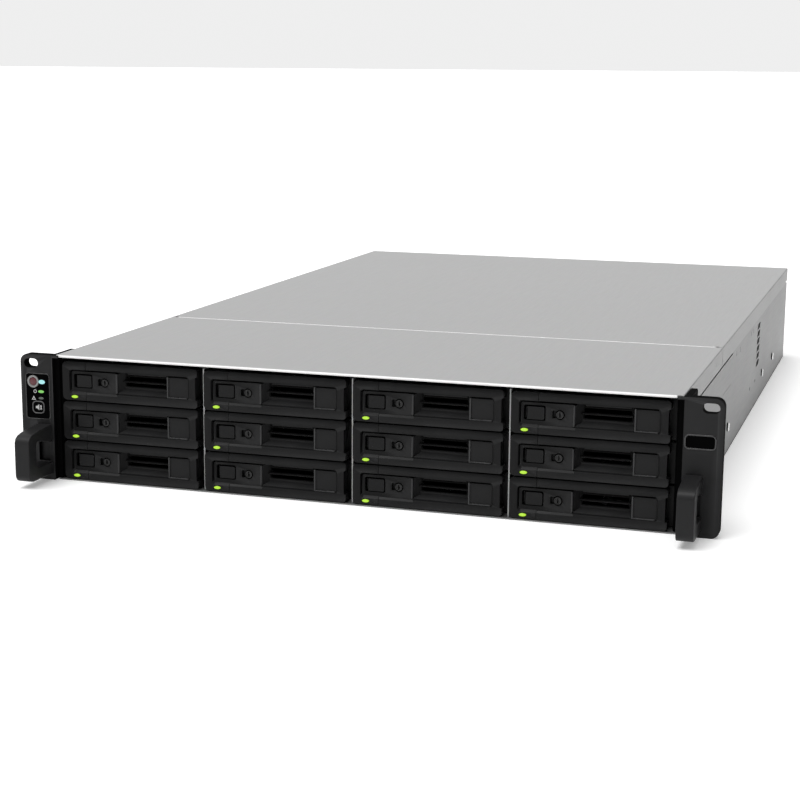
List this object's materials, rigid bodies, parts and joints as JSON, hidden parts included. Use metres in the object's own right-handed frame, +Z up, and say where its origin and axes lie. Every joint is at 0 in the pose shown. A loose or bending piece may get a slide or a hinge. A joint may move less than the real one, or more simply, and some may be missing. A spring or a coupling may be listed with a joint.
{
  "type": "network attached storage",
  "caption": "Rack-mounted network storage unit with slide-out hot-swap drive trays, hinged tray handles, key locks, rack ears with pull grips and slide-in power supplies.",
  "frame": {"origin": "centre of the bounding box seen from above, on the plane the unit stands on", "axes": "+X to the right seen from the front, +Y from the front towards the back, +Z up"},
  "size_m": [0.482, 0.724, 0.088],
  "materials": {
    "chassis_steel": "satin zinc-plated sheet steel",
    "cover_steel": "satin sheet steel",
    "ear_black": "fine moulded grain, black",
    "tray_black": "fine moulded grain, black",
    "button_grey": "fine moulded grain, dark grey",
    "lock_metal": "dark nickel",
    "circuit_board": "solder mask, green",
    "fan_plastic": "satin black",
    "psu_steel": "satin zinc-plated sheet steel"
  },
  "bodies": {
    "chassis": {"chassis_base": "chassis_steel", "front_cover": "cover_steel", "left_ear": "ear_black", "right_ear": "ear_black", "backplane": "circuit_board", "fan_tray": "fan_plastic", "mainboard": "circuit_board"},
    "rear_cover": {"rear_cover": "cover_steel"},
    "power_button": {"power_button": "button_grey"},
    "mute_button": {"mute_button": "button_grey"},
    "power_supply_1": {"power_supply_1": "psu_steel"},
    "power_supply_2": {"power_supply_2": "psu_steel"},
    "drive_tray_01": {"drive_tray_01": "tray_black"},
    "tray_handle_01": {"tray_handle_01": "tray_black"},
    "release_button_01": {"release_button_01": "button_grey"},
    "key_lock_01": {"key_lock_01": "lock_metal"},
    "drive_tray_02": {"drive_tray_02": "tray_black"},
    "tray_handle_02": {"tray_handle_02": "tray_black"},
    "release_button_02": {"release_button_02": "button_grey"},
    "key_lock_02": {"key_lock_02": "lock_metal"},
    "drive_tray_03": {"drive_tray_03": "tray_black"},
    "tray_handle_03": {"tray_handle_03": "tray_black"},
    "release_button_03": {"release_button_03": "button_grey"},
    "key_lock_03": {"key_lock_03": "lock_metal"},
    "drive_tray_04": {"drive_tray_04": "tray_black"},
    "tray_handle_04": {"tray_handle_04": "tray_black"},
    "release_button_04": {"release_button_04": "button_grey"},
    "key_lock_04": {"key_lock_04": "lock_metal"},
    "drive_tray_05": {"drive_tray_05": "tray_black"},
    "tray_handle_05": {"tray_handle_05": "tray_black"},
    "release_button_05": {"release_button_05": "button_grey"},
    "key_lock_05": {"key_lock_05": "lock_metal"},
    "drive_tray_06": {"drive_tray_06": "tray_black"},
    "tray_handle_06": {"tray_handle_06": "tray_black"},
    "release_button_06": {"release_button_06": "button_grey"},
    "key_lock_06": {"key_lock_06": "lock_metal"},
    "drive_tray_07": {"drive_tray_07": "tray_black"},
    "tray_handle_07": {"tray_handle_07": "tray_black"},
    "release_button_07": {"release_button_07": "button_grey"},
    "key_lock_07": {"key_lock_07": "lock_metal"},
    "drive_tray_08": {"drive_tray_08": "tray_black"},
    "tray_handle_08": {"tray_handle_08": "tray_black"},
    "release_button_08": {"release_button_08": "button_grey"},
    "key_lock_08": {"key_lock_08": "lock_metal"},
    "drive_tray_09": {"drive_tray_09": "tray_black"},
    "tray_handle_09": {"tray_handle_09": "tray_black"},
    "release_button_09": {"release_button_09": "button_grey"},
    "key_lock_09": {"key_lock_09": "lock_metal"},
    "drive_tray_10": {"drive_tray_10": "tray_black"},
    "tray_handle_10": {"tray_handle_10": "tray_black"},
    "release_button_10": {"release_button_10": "button_grey"},
    "key_lock_10": {"key_lock_10": "lock_metal"},
    "drive_tray_11": {"drive_tray_11": "tray_black"},
    "tray_handle_11": {"tray_handle_11": "tray_black"},
    "release_button_11": {"release_button_11": "button_grey"},
    "key_lock_11": {"key_lock_11": "lock_metal"},
    "drive_tray_12": {"drive_tray_12": "tray_black"},
    "tray_handle_12": {"tray_handle_12": "tray_black"},
    "release_button_12": {"release_button_12": "button_grey"},
    "key_lock_12": {"key_lock_12": "lock_metal"}
  },
  "joints": [
    {"name": "rear_cover_slide", "type": "slide", "parent": "chassis", "child": "rear_cover", "axis": [0, 1, 0], "range_m": [0, 0.015]},
    {"name": "power_button_press", "type": "slide", "parent": "chassis", "child": "power_button", "axis": [0, 1, 0], "range_m": [0, 0.0012], "stiffness_N_per_m": 600},
    {"name": "mute_button_press", "type": "slide", "parent": "chassis", "child": "mute_button", "axis": [0, 1, 0], "range_m": [0, 0.0012], "stiffness_N_per_m": 600},
    {"name": "power_supply_1_slide", "type": "slide", "parent": "chassis", "child": "power_supply_1", "axis": [0, 1, 0], "range_m": [0, 0.186]},
    {"name": "power_supply_2_slide", "type": "slide", "parent": "chassis", "child": "power_supply_2", "axis": [0, 1, 0], "range_m": [0, 0.186]},
    {"name": "tray_slide_01", "type": "slide", "parent": "chassis", "child": "drive_tray_01", "axis": [0, -1, 0], "range_m": [0, 0.168]},
    {"name": "tray_handle_01_hinge", "type": "hinge", "parent": "drive_tray_01", "child": "tray_handle_01", "pos_m": [-0.1131, -0.3226, 0.0704], "axis": [0, 0, 1], "range_deg": [0, 60]},
    {"name": "release_button_01_press", "type": "slide", "parent": "drive_tray_01", "child": "release_button_01", "axis": [0, 1, 0], "range_m": [0, 0.0018], "stiffness_N_per_m": 500},
    {"name": "key_lock_01_turn", "type": "hinge", "parent": "drive_tray_01", "child": "key_lock_01", "pos_m": [-0.1795, -0.3216, 0.07], "axis": [0, 1, 0], "range_deg": [0, 90]},
    {"name": "tray_slide_02", "type": "slide", "parent": "chassis", "child": "drive_tray_02", "axis": [0, -1, 0], "range_m": [0, 0.168]},
    {"name": "tray_handle_02_hinge", "type": "hinge", "parent": "drive_tray_02", "child": "tray_handle_02", "pos_m": [-0.0072, -0.3226, 0.0704], "axis": [0, 0, 1], "range_deg": [0, 60]},
    {"name": "release_button_02_press", "type": "slide", "parent": "drive_tray_02", "child": "release_button_02", "axis": [0, 1, 0], "range_m": [0, 0.0018], "stiffness_N_per_m": 500},
    {"name": "key_lock_02_turn", "type": "hinge", "parent": "drive_tray_02", "child": "key_lock_02", "pos_m": [-0.0736, -0.3216, 0.07], "axis": [0, 1, 0], "range_deg": [0, 90]},
    {"name": "tray_slide_03", "type": "slide", "parent": "chassis", "child": "drive_tray_03", "axis": [0, -1, 0], "range_m": [0, 0.168]},
    {"name": "tray_handle_03_hinge", "type": "hinge", "parent": "drive_tray_03", "child": "tray_handle_03", "pos_m": [0.0987, -0.3226, 0.0704], "axis": [0, 0, 1], "range_deg": [0, 60]},
    {"name": "release_button_03_press", "type": "slide", "parent": "drive_tray_03", "child": "release_button_03", "axis": [0, 1, 0], "range_m": [0, 0.0018], "stiffness_N_per_m": 500},
    {"name": "key_lock_03_turn", "type": "hinge", "parent": "drive_tray_03", "child": "key_lock_03", "pos_m": [0.0323, -0.3216, 0.07], "axis": [0, 1, 0], "range_deg": [0, 90]},
    {"name": "tray_slide_04", "type": "slide", "parent": "chassis", "child": "drive_tray_04", "axis": [0, -1, 0], "range_m": [0, 0.168]},
    {"name": "tray_handle_04_hinge", "type": "hinge", "parent": "drive_tray_04", "child": "tray_handle_04", "pos_m": [0.2046, -0.3226, 0.0704], "axis": [0, 0, 1], "range_deg": [0, 60]},
    {"name": "release_button_04_press", "type": "slide", "parent": "drive_tray_04", "child": "release_button_04", "axis": [0, 1, 0], "range_m": [0, 0.0018], "stiffness_N_per_m": 500},
    {"name": "key_lock_04_turn", "type": "hinge", "parent": "drive_tray_04", "child": "key_lock_04", "pos_m": [0.1382, -0.3216, 0.07], "axis": [0, 1, 0], "range_deg": [0, 90]},
    {"name": "tray_slide_05", "type": "slide", "parent": "chassis", "child": "drive_tray_05", "axis": [0, -1, 0], "range_m": [0, 0.168]},
    {"name": "tray_handle_05_hinge", "type": "hinge", "parent": "drive_tray_05", "child": "tray_handle_05", "pos_m": [-0.1131, -0.3226, 0.04255], "axis": [0, 0, 1], "range_deg": [0, 60]},
    {"name": "release_button_05_press", "type": "slide", "parent": "drive_tray_05", "child": "release_button_05", "axis": [0, 1, 0], "range_m": [0, 0.0018], "stiffness_N_per_m": 500},
    {"name": "key_lock_05_turn", "type": "hinge", "parent": "drive_tray_05", "child": "key_lock_05", "pos_m": [-0.1795, -0.3216, 0.04215], "axis": [0, 1, 0], "range_deg": [0, 90]},
    {"name": "tray_slide_06", "type": "slide", "parent": "chassis", "child": "drive_tray_06", "axis": [0, -1, 0], "range_m": [0, 0.168]},
    {"name": "tray_handle_06_hinge", "type": "hinge", "parent": "drive_tray_06", "child": "tray_handle_06", "pos_m": [-0.0072, -0.3226, 0.04255], "axis": [0, 0, 1], "range_deg": [0, 60]},
    {"name": "release_button_06_press", "type": "slide", "parent": "drive_tray_06", "child": "release_button_06", "axis": [0, 1, 0], "range_m": [0, 0.0018], "stiffness_N_per_m": 500},
    {"name": "key_lock_06_turn", "type": "hinge", "parent": "drive_tray_06", "child": "key_lock_06", "pos_m": [-0.0736, -0.3216, 0.04215], "axis": [0, 1, 0], "range_deg": [0, 90]},
    {"name": "tray_slide_07", "type": "slide", "parent": "chassis", "child": "drive_tray_07", "axis": [0, -1, 0], "range_m": [0, 0.168]},
    {"name": "tray_handle_07_hinge", "type": "hinge", "parent": "drive_tray_07", "child": "tray_handle_07", "pos_m": [0.0987, -0.3226, 0.04255], "axis": [0, 0, 1], "range_deg": [0, 60]},
    {"name": "release_button_07_press", "type": "slide", "parent": "drive_tray_07", "child": "release_button_07", "axis": [0, 1, 0], "range_m": [0, 0.0018], "stiffness_N_per_m": 500},
    {"name": "key_lock_07_turn", "type": "hinge", "parent": "drive_tray_07", "child": "key_lock_07", "pos_m": [0.0323, -0.3216, 0.04215], "axis": [0, 1, 0], "range_deg": [0, 90]},
    {"name": "tray_slide_08", "type": "slide", "parent": "chassis", "child": "drive_tray_08", "axis": [0, -1, 0], "range_m": [0, 0.168]},
    {"name": "tray_handle_08_hinge", "type": "hinge", "parent": "drive_tray_08", "child": "tray_handle_08", "pos_m": [0.2046, -0.3226, 0.04255], "axis": [0, 0, 1], "range_deg": [0, 60]},
    {"name": "release_button_08_press", "type": "slide", "parent": "drive_tray_08", "child": "release_button_08", "axis": [0, 1, 0], "range_m": [0, 0.0018], "stiffness_N_per_m": 500},
    {"name": "key_lock_08_turn", "type": "hinge", "parent": "drive_tray_08", "child": "key_lock_08", "pos_m": [0.1382, -0.3216, 0.04215], "axis": [0, 1, 0], "range_deg": [0, 90]},
    {"name": "tray_slide_09", "type": "slide", "parent": "chassis", "child": "drive_tray_09", "axis": [0, -1, 0], "range_m": [0, 0.168]},
    {"name": "tray_handle_09_hinge", "type": "hinge", "parent": "drive_tray_09", "child": "tray_handle_09", "pos_m": [-0.1131, -0.3226, 0.0147], "axis": [0, 0, 1], "range_deg": [0, 60]},
    {"name": "release_button_09_press", "type": "slide", "parent": "drive_tray_09", "child": "release_button_09", "axis": [0, 1, 0], "range_m": [0, 0.0018], "stiffness_N_per_m": 500},
    {"name": "key_lock_09_turn", "type": "hinge", "parent": "drive_tray_09", "child": "key_lock_09", "pos_m": [-0.1795, -0.3216, 0.0143], "axis": [0, 1, 0], "range_deg": [0, 90]},
    {"name": "tray_slide_10", "type": "slide", "parent": "chassis", "child": "drive_tray_10", "axis": [0, -1, 0], "range_m": [0, 0.168]},
    {"name": "tray_handle_10_hinge", "type": "hinge", "parent": "drive_tray_10", "child": "tray_handle_10", "pos_m": [-0.0072, -0.3226, 0.0147], "axis": [0, 0, 1], "range_deg": [0, 60]},
    {"name": "release_button_10_press", "type": "slide", "parent": "drive_tray_10", "child": "release_button_10", "axis": [0, 1, 0], "range_m": [0, 0.0018], "stiffness_N_per_m": 500},
    {"name": "key_lock_10_turn", "type": "hinge", "parent": "drive_tray_10", "child": "key_lock_10", "pos_m": [-0.0736, -0.3216, 0.0143], "axis": [0, 1, 0], "range_deg": [0, 90]},
    {"name": "tray_slide_11", "type": "slide", "parent": "chassis", "child": "drive_tray_11", "axis": [0, -1, 0], "range_m": [0, 0.168]},
    {"name": "tray_handle_11_hinge", "type": "hinge", "parent": "drive_tray_11", "child": "tray_handle_11", "pos_m": [0.0987, -0.3226, 0.0147], "axis": [0, 0, 1], "range_deg": [0, 60]},
    {"name": "release_button_11_press", "type": "slide", "parent": "drive_tray_11", "child": "release_button_11", "axis": [0, 1, 0], "range_m": [0, 0.0018], "stiffness_N_per_m": 500},
    {"name": "key_lock_11_turn", "type": "hinge", "parent": "drive_tray_11", "child": "key_lock_11", "pos_m": [0.0323, -0.3216, 0.0143], "axis": [0, 1, 0], "range_deg": [0, 90]},
    {"name": "tray_slide_12", "type": "slide", "parent": "chassis", "child": "drive_tray_12", "axis": [0, -1, 0], "range_m": [0, 0.168]},
    {"name": "tray_handle_12_hinge", "type": "hinge", "parent": "drive_tray_12", "child": "tray_handle_12", "pos_m": [0.2046, -0.3226, 0.0147], "axis": [0, 0, 1], "range_deg": [0, 60]},
    {"name": "release_button_12_press", "type": "slide", "parent": "drive_tray_12", "child": "release_button_12", "axis": [0, 1, 0], "range_m": [0, 0.0018], "stiffness_N_per_m": 500},
    {"name": "key_lock_12_turn", "type": "hinge", "parent": "drive_tray_12", "child": "key_lock_12", "pos_m": [0.1382, -0.3216, 0.0143], "axis": [0, 1, 0], "range_deg": [0, 90]}
  ]
}
